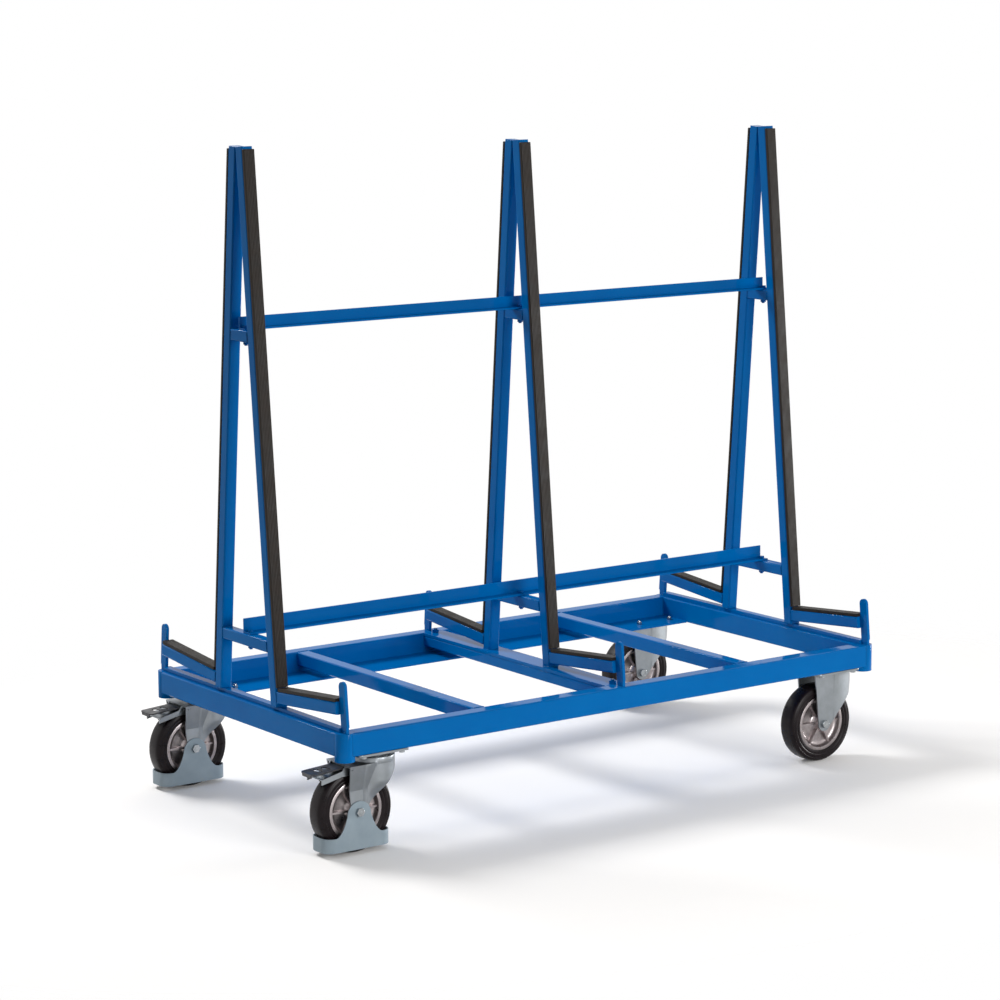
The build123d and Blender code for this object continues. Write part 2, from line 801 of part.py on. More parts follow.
def guard_side_face():
    """Side view of the guard: a round ear at the axle that flares to the foot."""
    foot_x = guard_half_length - guard_end_radius
    ear_z = wheel_radius - guard_ear_drop
    ear = guard_ear_radius
    top = ThreePointArc((-ear, ear_z), (0, ear_z + ear), (ear, ear_z))
    flares = [
        Bezier(
            (side * ear, ear_z),
            (side * guard_waist_half, guard_waist_z),
            (side * guard_hip_half, guard_band_top_z),
            (side * foot_x, guard_band_top_z),
        )
        for side in sides
    ]
    foot = Polyline(
        (-foot_x, guard_band_top_z),
        (-foot_x, guard_bottom_z),
        (foot_x, guard_bottom_z),
        (foot_x, guard_band_top_z),
    )
    return make_face([top, *flares, *foot.edges()])


def foot_guard():
    outer_y = fork_half_width + guard_wall
    height = guard_band_top_z - guard_bottom_z
    band = extrude(
        RectangleRounded(2 * guard_half_length, 2 * outer_y, guard_end_radius), amount=height
    )
    room = extrude(
        RectangleRounded(
            2 * (guard_half_length - guard_wall),
            2 * (outer_y - guard_wall),
            guard_end_radius - guard_wall,
        ),
        amount=height,
    )
    body = Pos(0, 0, guard_bottom_z) * (band - room)
    for side in sides:
        start = side * fork_half_width
        body = body + extrude(Plane.XZ.offset(-start) * guard_side_face(), amount=-side * guard_wall)
    return ring_of(body - cross_rod(axle_radius + running_gap, 0, wheel_radius, -wheel_width, wheel_width))


def build_casters():
    for name, side in (("front", -1), ("rear", 1)):
        y = side * caster_y
        fixed = Pos(fixed_x - fixed_trail, y, 0)
        write(f"{name}_fixed_bracket", fixed * fixed_bracket())
        write(f"{name}_fixed_axle", *[fixed * solid for solid in axle(fork_half_width)])
        write(f"{name}_fixed_rim", fixed * rim())
        write(f"{name}_fixed_tyre", fixed * tyre())
        swivel = Pos(swivel_x - swivel_trail, y, 0)
        write(f"{name}_swivel_plate", swivel * swivel_plate())
        write(f"{name}_swivel_fork", swivel * swivel_fork())
        write(f"{name}_swivel_axle", *[swivel * solid for solid in axle(fork_half_width + guard_wall)])
        write(f"{name}_swivel_rim", swivel * rim())
        write(f"{name}_swivel_tyre", swivel * tyre())
        write(f"{name}_swivel_pedal", swivel * pedal())
        write(f"{name}_swivel_shoe", swivel * brake_shoe())
        write(f"{name}_swivel_guard", swivel * foot_guard())


os.makedirs("parts", exist_ok=True)
build_base()
for frame_name, frame_x in (("left", -frame_offset), ("middle", 0), ("right", frame_offset)):
    build_frame(frame_name, frame_x)
build_rails()
build_fasteners()
build_casters()
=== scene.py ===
import json
import math

import bmesh
import bpy
from mathutils import Matrix, Vector


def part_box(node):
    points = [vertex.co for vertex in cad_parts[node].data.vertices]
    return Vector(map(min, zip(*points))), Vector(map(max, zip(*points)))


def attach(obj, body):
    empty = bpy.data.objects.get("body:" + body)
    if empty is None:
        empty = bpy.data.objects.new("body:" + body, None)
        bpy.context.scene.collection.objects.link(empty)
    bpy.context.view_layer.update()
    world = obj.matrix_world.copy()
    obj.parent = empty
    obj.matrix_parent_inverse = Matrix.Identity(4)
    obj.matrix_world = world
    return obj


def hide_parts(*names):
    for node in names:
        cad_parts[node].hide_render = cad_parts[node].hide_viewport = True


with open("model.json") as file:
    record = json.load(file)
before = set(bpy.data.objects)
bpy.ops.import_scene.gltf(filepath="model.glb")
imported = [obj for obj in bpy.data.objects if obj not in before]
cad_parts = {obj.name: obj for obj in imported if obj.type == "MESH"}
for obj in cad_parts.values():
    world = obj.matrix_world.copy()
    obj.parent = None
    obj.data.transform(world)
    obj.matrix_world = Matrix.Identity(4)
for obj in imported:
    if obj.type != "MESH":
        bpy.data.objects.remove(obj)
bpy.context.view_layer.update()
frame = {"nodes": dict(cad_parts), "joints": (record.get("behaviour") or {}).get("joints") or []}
nodes = frame["nodes"]
joints = {joint["name"]: joint for joint in frame["joints"]}

millimetre = 0.001
cartEnds = ("front", "rear")
frameLabels = ("left", "middle", "right")


def linearChannel(value):
    return value / 12.92 if value <= 0.04045 else ((value + 0.055) / 1.055) ** 2.4


def linearColour(hexCode):
    channels = [int(hexCode[i:i + 2], 16) / 255 for i in (1, 3, 5)]
    return [linearChannel(channel) for channel in channels] + [1.0]


# cloud: size of the soft colour patches, grain: size of the surface texture, depth: its height,
# edge: width of the rounded edges on CAD nodes, ribs: spacing of pressed ribs, all in mm
finishes = {
    # powder coat baked on steel tube: flat saturated blue, a thin gloss that shows at a low angle
    "powderCoat": {
        "slot": "blue_paint", "hex": ("#0067AD", "#0061A7"), "cloud": 110.0, "roughness": (0.30, 0.38),
        "metallic": 0.0, "specular": 0.0, "coat": 1.0, "grain": 0.9, "bump": 0.05, "depth": 0.4, "edge": 0.6,
    },
    # the same powder coat over a weld bead: a touch darker, uneven sheen
    "coatedWeld": {
        "slot": "blue_paint", "hex": ("#0060A2", "#00548F"), "cloud": 16.0, "roughness": (0.34, 0.48),
        "metallic": 0.0, "specular": 0.0, "coat": 1.0, "grain": 1.1, "bump": 0.12, "depth": 0.4, "edge": 0.0,
    },
    # extruded EPDM strip: warm black, dull, fine lengthwise ribs 4 mm apart
    "extrudedRubber": {
        "slot": "black_rubber", "hex": ("#1D1916", "#2A241F"), "cloud": 30.0, "roughness": (0.40, 0.55),
        "metallic": 0.0, "specular": 0.10, "coat": 0.0, "grain": 0.5, "bump": 0.2, "depth": 0.4, "edge": 1.2,
        "ribs": 4.0,
    },
    # solid moulded tyre: near black with a faint oily sheen
    "solidTyre": {
        "slot": "wheel_tyre", "hex": ("#110C0E", "#1C1517"), "cloud": 22.0, "roughness": (0.24, 0.36),
        "metallic": 0.0, "specular": 0.14, "coat": 0.0, "grain": 0.6, "bump": 0.08, "depth": 0.3, "edge": 0.6,
    },
    # die-cast aluminium: slightly warm grey, cast skin
    "dieCastAluminium": {
        "slot": "wheel_rim", "hex": ("#B2AAAA", "#8D8585"), "cloud": 16.0, "roughness": (0.24, 0.40),
        "metallic": 1.0, "specular": 0.5, "coat": 0.0, "grain": 0.8, "bump": 0.2, "depth": 0.4, "edge": 0.6,
    },
    # pressed steel with bright zinc plating: cool grey, faint clouds from the bath
    "zincPlating": {
        "slot": "zinc_steel", "hex": ("#90959A", "#82878A"), "cloud": 34.0, "roughness": (0.35, 0.41),
        "metallic": 1.0, "specular": 0.5, "coat": 0.0, "grain": 1.0, "bump": 0.05, "depth": 0.3, "edge": 0.8,
    },
    # zinc-plated bolts and nuts: brighter, turned faces
    "platedFastener": {
        "slot": "zinc_steel", "hex": ("#B4B8BA", "#8F9497"), "cloud": 11.0, "roughness": (0.18, 0.30),
        "metallic": 1.0, "specular": 0.5, "coat": 0.0, "grain": 0.7, "bump": 0.06, "depth": 0.2, "edge": 0.5,
    },
    # stoved grey enamel on the foot guards: matt blue-grey
    "greyEnamel": {
        "slot": "guard_paint", "hex": ("#8B99A2", "#808E97"), "cloud": 55.0, "roughness": (0.42, 0.54),
        "metallic": 0.0, "specular": 0.20, "coat": 0.0, "grain": 0.9, "bump": 0.10, "depth": 0.4, "edge": 0.9,
    },
    # stamped steel with a dark oxide skin: pedals
    "darkOxide": {
        "slot": "pedal_steel", "hex": ("#4A4A4C", "#2E2D30"), "cloud": 25.0, "roughness": (0.28, 0.46),
        "metallic": 0.9, "specular": 0.5, "coat": 0.0, "grain": 0.8, "bump": 0.12, "depth": 0.3, "edge": 0.7,
    },
}
# a thin clear film: hardly any gloss seen straight on, much at a low angle
coatFilm = {"ior": 1.13, "roughness": 0.07}
# noise behind the patches and the grain, and how strongly pressed ribs show
pattern = {
    "patchRange": (0.3, 0.7), "cloudDetail": 5.0, "cloudRoughness": 0.55, "grainDetail": 3.0, "ribStrength": 0.7,
}


def addNode(tree, kind, inputs=None, **settings):
    node = tree.nodes.new(kind)
    for key, value in settings.items():
        setattr(node, key, value)
    for key, value in (inputs or {}).items():
        if isinstance(value, bpy.types.NodeSocket):
            tree.links.new(value, node.inputs[key])
        else:
            node.inputs[key].default_value = value
    return node


def makeFinish(name, finish):
    made = bpy.data.materials.new(name)
    made.use_nodes = True
    tree = made.node_tree
    shader = tree.nodes["Principled BSDF"]
    shader.inputs["Metallic"].default_value = finish["metallic"]
    shader.inputs["Specular IOR Level"].default_value = finish["specular"]
    shader.inputs["Coat Weight"].default_value = finish["coat"]
    if finish["coat"]:
        shader.inputs["Coat Roughness"].default_value = coatFilm["roughness"]
        shader.inputs["Coat IOR"].default_value = coatFilm["ior"]
    place = addNode(tree, "ShaderNodeTexCoord").outputs["Object"]
    patchLow, patchHigh = pattern["patchRange"]
    cloud = addNode(tree, "ShaderNodeTexNoise", {
        "Vector": place, "Scale": 1 / (finish["cloud"] * millimetre),
        "Detail": pattern["cloudDetail"], "Roughness": pattern["cloudRoughness"],
    }).outputs["Fac"]
    patch = addNode(tree, "ShaderNodeMapRange", {
        "Value": cloud, "From Min": patchLow, "From Max": patchHigh,
    }).outputs["Result"]
    colour = addNode(tree, "ShaderNodeMix", {"Factor": patch}, data_type="RGBA")
    colour.inputs["A"].default_value = linearColour(finish["hex"][0])
    colour.inputs["B"].default_value = linearColour(finish["hex"][1])
    sheen = addNode(tree, "ShaderNodeMapRange", {
        "Value": cloud, "From Min": patchLow, "From Max": patchHigh,
        "To Min": finish["roughness"][0], "To Max": finish["roughness"][1],
    }).outputs["Result"]
    grain = addNode(tree, "ShaderNodeTexNoise", {
        "Vector": place, "Scale": 1 / (finish["grain"] * millimetre), "Detail": pattern["grainDetail"],
    }).outputs["Fac"]
    depth = finish["depth"] * millimetre
    surface = addNode(tree, "ShaderNodeBump", {
        "Strength": finish["bump"], "Distance": depth, "Height": grain,
    }).outputs["Normal"]
    if "ribs" in finish:
        # every pad runs lengthwise across X, so its ribs are bands of X
        across = addNode(tree, "ShaderNodeSeparateXYZ", {"Vector": place}).outputs["X"]
        turn = addNode(tree, "ShaderNodeMath", {
            0: across, 1: 2 * math.pi / (finish["ribs"] * millimetre),
        }, operation="MULTIPLY")
        wave = addNode(tree, "ShaderNodeMath", {0: turn.outputs["Value"]}, operation="SINE").outputs["Value"]
        surface = addNode(tree, "ShaderNodeBump", {
            "Strength": pattern["ribStrength"], "Distance": depth, "Height": wave, "Normal": surface,
        }).outputs["Normal"]
    tree.links.new(colour.outputs["Result"], shader.inputs["Base Color"])
    tree.links.new(sheen, shader.inputs["Roughness"])
    tree.links.new(surface, shader.inputs["Normal"])
    return made


materials = {name: makeFinish(name, finish) for name, finish in finishes.items()}
print("materials made")

# how a CAD node's name ends, and the finish that the node takes; anything else is powder coated
nodeFinishes = {
    "_pads": "extrudedRubber", "_tyre": "solidTyre", "_rim": "dieCastAluminium", "_guard": "greyEnamel",
    "_pedal": "darkOxide", "_shoe": "extrudedRubber", "_plate": "zincPlating", "_fork": "zincPlating",
    "_bracket": "zincPlating", "_axle": "platedFastener", "caster_bolts": "platedFastener",
}
# merge in mm; flat and angle in degrees: flatter seams are dissolved, sharper edges are rounded
edgeRounding = {"merge": 0.01, "flat": 0.4, "segments": 2, "angle": 28.0}


def finishOf(node):
    for ending, finish in nodeFinishes.items():
        if node.endswith(ending):
            return finish
    return "powderCoat"


def softenEdges(piece, width):
    weld = piece.modifiers.new("weld", "WELD")
    weld.merge_threshold = edgeRounding["merge"] * millimetre
    flatten = piece.modifiers.new("flatten", "DECIMATE")
    flatten.decimate_type = "DISSOLVE"
    flatten.angle_limit = math.radians(edgeRounding["flat"])
    bevel = piece.modifiers.new("edges", "BEVEL")
    bevel.width = width * millimetre
    bevel.segments = edgeRounding["segments"]
    bevel.limit_method = "ANGLE"
    bevel.angle_limit = math.radians(edgeRounding["angle"])
    bevel.harden_normals = True
    bevel.use_clamp_overlap = True


for name, piece in nodes.items():
    finish = finishOf(name)
    piece.data.materials.clear()
    piece.data.materials.append(materials[finish])
    softenEdges(piece, finishes[finish]["edge"])
print("frame dressed", len(nodes))


def finishPiece(name, mesh, body, finish, smooth, replaced=()):
    mesh.materials.clear()
    mesh.materials.append(materials[finish])
    mesh.shade_smooth()
    mesh.set_sharp_from_angle(angle=math.radians(smooth))
    piece = bpy.data.objects.new(name, mesh)
    bpy.context.scene.collection.objects.link(piece)
    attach(piece, body)
    if replaced:
        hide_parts(*replaced)
    return piece


def grownMesh(name, seed, tree, sizes):
    # runs a Geometry Nodes tree on a seed mesh and keeps the result as a plain mesh
    carrier = bpy.data.objects.new(name + "Seed", seed)
    bpy.context.scene.collection.objects.link(carrier)
    grow = carrier.modifiers.new("grow", "NODES")
    grow.node_group = tree
    for item in tree.interface.items_tree:
        if item.in_out == "INPUT" and item.name in sizes:
            grow[item.identifier] = sizes[item.name]
    evaluated = carrier.evaluated_get(bpy.context.evaluated_depsgraph_get())
    mesh = bpy.data.meshes.new_from_object(evaluated)
    mesh.name = name
    bpy.data.objects.remove(carrier)
    return mesh


def newTree(name, inputs):
    tree = bpy.data.node_groups.new(name, "GeometryNodeTree")
    tree.interface.new_socket("Geometry", in_out="OUTPUT", socket_type="NodeSocketGeometry")
    tree.interface.new_socket("Geometry", in_out="INPUT", socket_type="NodeSocketGeometry")
    for label, kind in inputs.items():
        tree.interface.new_socket(label, in_out="INPUT", socket_type=kind)
    return tree, tree.nodes.new("NodeGroupInput").outputs


def closeTree(tree, geometry, finish):
    real = addNode(tree, "GeometryNodeRealizeInstances", {"Geometry": geometry})
    dressed = addNode(tree, "GeometryNodeSetMaterial", {
        "Geometry": real.outputs["Geometry"], "Material": materials[finish],
    })
    end = tree.nodes.new("NodeGroupOutput")
    tree.links.new(dressed.outputs["Geometry"], end.inputs["Geometry"])
    return tree


def mirrored(half):
    return half + [(radius, -across) for radius, across in reversed(half)]


# radius and half width in mm, from the bore over one side to the middle of the tread;
# smooth: edges sharper than this many degrees stay sharp, here and in the pieces below
tyreShape = {
    "segments": 128, "smooth": 50,
    "half": [
        (71.0, 23.0), (73.0, 23.6), (76.0, 24.3), (79.0, 24.6), (79.7, 24.1), (80.7, 24.1), (81.4, 24.8),
        (84.0, 25.0), (89.5, 25.0), (90.3, 24.3), (91.3, 24.3), (92.0, 24.8), (94.0, 24.2), (96.4, 22.6),
        (98.2, 20.0), (99.3, 16.5), (99.9, 11.0), (100.0, 0.4),
    ],
}
rimShape = {
    "segments": 96, "smooth": 32,
    "half": [
        (6.05, 31.6), (14.5, 31.6), (15.6, 30.6), (16.8, 25.0), (19.5, 17.0), (23.0, 12.4), (27.0, 10.6),
        (50.0, 9.6), (56.0, 10.6), (59.6, 13.4), (61.4, 17.6), (62.6, 21.8), (63.6, 23.0), (70.2, 23.0),
        (71.0, 22.6),
    ],
}
# one cast rib from hub to rim, in mm; foot and crest are half thicknesses
ribShape = {
    "count": 6, "smooth": 32, "inner": 15.0, "outer": 61.6, "web": 7.0,
    "hubDepth": 21.0, "rimDepth": 17.0, "foot": 4.2, "crest": 2.4,
}


def meshFrom(name, build, centre=(0, 0, 0)):
    bmesh.ops.recalc_face_normals(build, faces=build.faces)
    mesh = bpy.data.meshes.new(name)
    build.to_mesh(mesh)
    build.free()
    mesh.transform(Matrix.Translation(centre))
    return mesh


def lathe(shape, centre, name):
    build = bmesh.new()
    profile = mirrored(shape["half"])
    rings = []
    for index in range(shape["segments"]):
        angle = 2 * math.pi * index / shape["segments"]
        rings.append([
            build.verts.new(Vector((radius * math.cos(angle), across, radius * math.sin(angle))) * millimetre)
            for radius, across in profile
        ])
    for index, here in enumerate(rings):
        there = rings[(index + 1) % len(rings)]
        for step in range(len(profile)):
            after = (step + 1) % len(profile)
            build.faces.new((here[step], here[after], there[after], there[step]))
    return meshFrom(name, build, centre)


boxFaces = ((0, 1, 3, 2), (4, 6, 7, 5), (0, 2, 6, 4), (1, 5, 7, 3), (2, 3, 7, 6), (0, 4, 5, 1))


def ribSeed(name):
    build = bmesh.new()
    for side in (-1, 1):
        corners = []
        spots = ((ribShape["inner"], ribShape["hubDepth"]), (ribShape["outer"], ribShape["rimDepth"]))
        for radius, depth in spots:
            for across, half in ((ribShape["web"], ribShape["foot"]), (depth, ribShape["crest"])):
                for edge in (-half, half):
                    corners.append(build.verts.new(Vector((radius, side * across, edge)) * millimetre))
        for face in boxFaces:
            build.faces.new([corners[i] for i in face])
    return meshFrom(name, build)


def ribTree():
    tree, given = newTree("ribRing", {"Count": "NodeSocketInt"})
    spots = addNode(tree, "GeometryNodeMeshLine", {"Count": given["Count"], "Offset": (0.0, 0.0, 0.0)})
    share = addNode(tree, "ShaderNodeMath", {0: 2 * math.pi, 1: given["Count"]}, operation="DIVIDE")
    order = addNode(tree, "GeometryNodeInputIndex")
    angle = addNode(tree, "ShaderNodeMath", {
        0: order.outputs["Index"], 1: share.outputs["Value"],
    }, operation="MULTIPLY")
    turn = addNode(tree, "ShaderNodeCombineXYZ", {"Y": angle.outputs["Value"]})
    ring = addNode(tree, "GeometryNodeInstanceOnPoints", {
        "Points": spots.outputs["Mesh"], "Instance": given["Geometry"], "Rotation": turn.outputs["Vector"],
    })
    return closeTree(tree, ring.outputs["Instances"], "dieCastAluminium")


ribRing = ribTree()
for end in cartEnds:
    for kind in ("swivel", "fixed"):
        centre = Vector(joints[f"{end}_{kind}_roll"]["pos_m"])
        body = f"{end}_{kind}_wheel"
        label = end + kind.capitalize()
        tyre = lathe(tyreShape, centre, label + "Tyre")
        finishPiece(label + "Tyre", tyre, body, "solidTyre", tyreShape["smooth"], (f"{end}_{kind}_tyre",))
        rim = lathe(rimShape, centre, label + "Rim")
        finishPiece(label + "Rim", rim, body, "dieCastAluminium", rimShape["smooth"], (f"{end}_{kind}_rim",))
        ribs = grownMesh(label + "Ribs", ribSeed(label + "RibSeed"), ribRing, {"Count": ribShape["count"]})
        ribs.transform(Matrix.Translation(centre))
        finishPiece(label + "Ribs", ribs, body, "dieCastAluminium", ribShape["smooth"])
print("wheels made")

# round pressed cheeks of a swivel fork: a half cylinder about the swivel axis that tapers into the flat legs.
# In mm: x from the axle, y from the wheel's middle, z from the floor; disc counts down from the fork's top to
# its roof, lip and corner from the roof
forkCheek = {
    "axis": 62.0, "radius": 51.9, "leg": 36.0, "low": 121.0, "full": 168.0,
    "disc": 9.7, "lip": 8.0, "corner": 39.0, "lowX": 34.0, "cornerX": 84.0, "frontX": 114.0,
    # the solid fork under the cheeks, how deep they reach into it, and their least thickness
    "curveX": 12.0, "curveReach": 102.0, "topHalf": 52.0, "shoulder": 150.0, "sunk": 0.8, "skin": 0.1,
    # widest turn about the swivel axis in degrees, and how finely the cheek is divided
    "most": 80.0, "columns": 26, "lowRows": 16, "highRows": 8, "smooth": 40,
}


def cheekRows(roof):
    # heights of the rows, each with the x of the fork's cut edge there
    shape = forkCheek
    corner, lip = roof - shape["corner"], roof - shape["lip"]
    rows = []
    for index in range(shape["lowRows"]):
        share = index / shape["lowRows"]
        edgeX = shape["lowX"] + share * (shape["cornerX"] - shape["lowX"])
        rows.append((shape["low"] + share * (corner - shape["low"]), edgeX))
    for index in range(shape["highRows"] + 1):
        share = index / shape["highRows"]
        edgeX = shape["cornerX"] + share * (shape["frontX"] - shape["cornerX"])
        rows.append((corner + share * (lip - corner), edgeX))
    return rows + [(roof, shape["frontX"])]


def solidHalf(x, z, roof):
    # half width of the CAD fork at this place
    shape = forkCheek
    rise = max(0.0, (z - shape["shoulder"]) / (roof - shape["shoulder"]))
    half = shape["leg"] + rise * (shape["topHalf"] - shape["leg"])
    return half * math.sqrt(max(0.0, 1 - ((x - shape["curveX"]) / shape["curveReach"]) ** 2))


def addForkCheeks(name, centre, roof, body):
    shape = forkCheek
    build = bmesh.new()
    start = -math.acos(shape["leg"] / shape["radius"])
    for side in (-1, 1):
        outerRows, innerRows = [], []
        for z, edgeX in cheekRows(roof):
            stop = math.asin(min(1.0, (edgeX - shape["axis"]) / shape["radius"]))
            stop = min(stop, math.radians(shape["most"]))
            share = min(1.0, (z - shape["low"]) / (shape["full"] - shape["low"]))
            swell = share * share * (3 - 2 * share)  # eases from the flat leg into the full cylinder
            outerRow, innerRow = [], []
            for column in range(shape["columns"] + 1):
                angle = start + (stop - start) * column / shape["columns"]
                x = shape["axis"] + shape["radius"] * math.sin(angle)
                inner = solidHalf(x, z, roof) - shape["sunk"]
                outer = shape["leg"] + swell * (shape["radius"] * math.cos(angle) - shape["leg"])
                outer = max(outer, inner + shape["skin"])
                for row, y in ((outerRow, outer), (innerRow, inner)):
                    row.append(build.verts.new((
                        centre.x + x * millimetre, centre.y + side * y * millimetre, z * millimetre,
                    )))
            outerRows.append(outerRow)
            innerRows.append(innerRow)
        for rows in (outerRows, innerRows):
            for low, high in zip(rows, rows[1:]):
                for column in range(shape["columns"]):
                    build.faces.new((low[column], low[column + 1], high[column + 1], high[column]))
        # close the foot and the head, then the two upright sides
        for outerRow, innerRow in ((outerRows[0], innerRows[0]), (outerRows[-1], innerRows[-1])):
            for column in range(shape["columns"]):
                build.faces.new((outerRow[column], outerRow[column + 1], innerRow[column + 1], innerRow[column]))
        for column in (0, -1):
            for row in range(len(outerRows) - 1):
                build.faces.new((
                    outerRows[row][column], outerRows[row + 1][column],
                    innerRows[row + 1][column], innerRows[row][column],
                ))
    finishPiece(name, meshFrom(name, build), body, "zincPlating", shape["smooth"])


for end in cartEnds:
    centre = Vector(joints[f"{end}_swivel_roll"]["pos_m"])
    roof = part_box(f"{end}_swivel_fork")[1].z / millimetre - forkCheek["disc"]
    addForkCheeks(end + "ForkCheeks", centre, roof, f"{end}_swivel_head")
print("fork cheeks made")

# bead radius, ripple spacing and step in mm, and how the ripple swells the bead
weldShape = {
    "radius": 1.6, "seamRadius": 1.0, "ripple": 4.8, "step": 1.2, "swell": (0.74, 1.1), "sides": 8, "smooth": 60,
}


def weldTree():
    tree, given = newTree("weldBead", {"Radius": "NodeSocketFloat", "Ripple": "NodeSocketFloat"})
    path = addNode(tree, "GeometryNodeMeshToCurve", {"Mesh": given["Geometry"]})
    fine = addNode(tree, "GeometryNodeResampleCurve", {
        "Curve": path.outputs["Curve"], "Length": weldShape["step"] * millimetre,
    }, mode="LENGTH")
    along = addNode(tree, "GeometryNodeSplineParameter")
    turns = addNode(tree, "ShaderNodeMath", {0: along.outputs["Length"], 1: given["Ripple"]}, operation="DIVIDE")
    phase = addNode(tree, "ShaderNodeMath", {0: turns.outputs["Value"], 1: 2 * math.pi}, operation="MULTIPLY")
    wave = addNode(tree, "ShaderNodeMath", {0: phase.outputs["Value"]}, operation="SINE")
    swell = addNode(tree, "ShaderNodeMapRange", {
        "Value": wave.outputs["Value"], "From Min": -1.0,
        "To Min": weldShape["swell"][0], "To Max": weldShape["swell"][1],
    }).outputs["Result"]
    ring = addNode(tree, "GeometryNodeCurvePrimitiveCircle", {
        "Resolution": weldShape["sides"], "Radius": given["Radius"],
    })
    sweep = addNode(tree, "GeometryNodeCurveToMesh", {
        "Curve": fine.outputs["Curve"], "Profile Curve": ring.outputs["Curve"], "Scale": swell, "Fill Caps": True,
    })
    return closeTree(tree, sweep.outputs["Mesh"], "coatedWeld")


weldBead = weldTree()


def addWelds(name, lines, radius):
    points, edges = [], []
    for line in lines:
        first = len(points)
        points += [Vector(point) for point in line]
        edges += [(first + i, first + i + 1) for i in range(len(line) - 1)]
    seed = bpy.data.meshes.new(name + "Seed")
    seed.from_pydata(points, edges, [])
    sizes = {"Radius": radius * millimetre, "Ripple": weldShape["ripple"] * millimetre}
    finishPiece(name, grownMesh(name, seed, weldBead, sizes), "base", "coatedWeld", weldShape["smooth"])


lean = math.radians(5)  # of a post from upright, and of an arm from level
postFoot = 0.1414  # outer face of a post at the height of its arm, in metres from the middle
armEnd = 0.26198  # length of an arm in metres
# in metres: how far beads stay from the edges, their length down a tube, a tie's height, an end stop's foot along Y
frameWelds = {"inset": 0.003, "armDepth": 0.026, "tieHeight": 0.028, "stopWidth": (0.411, 0.428)}
# plate set in the open mouth of an arm, in mm
armCap = {
    "half": 12.9, "corner": 2.0, "inset": 0.6, "thickness": 2.0, "crown": 0.4, "shrink": 0.8, "tube": 15.0,
    "turns": 4, "smooth": 40,
}


def armPoint(x, side, out, up, foot):
    y = side * (foot[0] + out * math.cos(lean) - up * math.sin(lean))
    return (x, y, foot[1] + out * math.sin(lean) + up * math.cos(lean))


def roundedSquare(half, corner, turns):
    points = []
    for quarter in range(4):
        middle = math.pi / 2 * (quarter + 0.5)
        across = math.copysign(half - corner, math.cos(middle))
        up = math.copysign(half - corner, math.sin(middle))
        for step in range(turns + 1):
            angle = math.pi / 2 * (quarter + step / turns)
            points.append((across + corner * math.cos(angle), up + corner * math.sin(angle)))
    return points


def addArmCaps(name, x, foot):
    build = bmesh.new()
    inset = armCap["inset"]
    layers = (
        (inset + armCap["thickness"], 0.0), (inset + armCap["crown"], 0.0), (inset, armCap["shrink"]),
    )
    for side in (-1, 1):
        rings = []
        for back, shrink in layers:
            out = armEnd - back * millimetre
            outline = roundedSquare(armCap["half"] - shrink, armCap["corner"], armCap["turns"])
            rings.append([
                build.verts.new(armPoint(
                    x + across * millimetre, side, out, (up - armCap["tube"]) * millimetre, foot,
                ))
                for across, up in outline
            ])
        for low, high in zip(rings, rings[1:]):
            for index in range(len(low)):
                after = (index + 1) % len(low)
                build.faces.new((low[index], low[after], high[after], high[index]))
        build.faces.new(rings[0])
        build.faces.new(rings[-1])
    finishPiece(name, meshFrom(name, build), "base", "powderCoat", armCap["smooth"])


for label in frameLabels:
    lines = []
    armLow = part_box(f"{label}_arms")[0]
    postLow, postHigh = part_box(f"{label}_front_post")
    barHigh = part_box(f"{label}_base_bar")[1]
    tieLow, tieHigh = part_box(f"{label}_ties")
    stopLow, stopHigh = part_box(f"{label}_end_stops")
    x = (postLow.x + postHigh.x) / 2
    half = (postHigh.x - postLow.x) / 2
    inset = frameWelds["inset"]
    depth = frameWelds["armDepth"]
    foot = (postFoot, armLow.z + 2 * half * math.cos(lean))
    slant = 2 * half / math.cos(lean)
    outer = foot[0] + (foot[1] - barHigh.z) * math.tan(lean)
    for side in (-1, 1):
        # arm on post, and post on base bar
        for face in (x - half, x + half):
            lines.append([armPoint(face, side, 0, -depth, foot), armPoint(face, side, 0, -inset, foot)])
            lines.append([
                (face, side * (outer - slant + inset), barHigh.z), (face, side * (outer - inset), barHigh.z),
            ])
        lines.append([(x - half + inset, side * outer, barHigh.z), (x + half - inset, side * outer, barHigh.z)])
        # both ties between the posts
        for top in (tieHigh.z, tieLow.z + frameWelds["tieHeight"]):
            levels = (top - depth, top - inset, top)
            spots = [side * (foot[0] - (z - foot[1]) * math.tan(lean) - slant) for z in levels]
            for face in (x - half, x + half):
                lines.append([(face, spots[0], levels[0]), (face, spots[1], levels[1])])
            lines.append([(x - half + inset, spots[2], top), (x + half - inset, spots[2], top)])
        for face in (stopLow.x, stopHigh.x):
            lines.append([(face, side * y, stopLow.z) for y in frameWelds["stopWidth"]])
    addWelds(label + "FrameWelds", lines, weldShape["radius"])
    addArmCaps(label + "ArmCaps", x, foot)

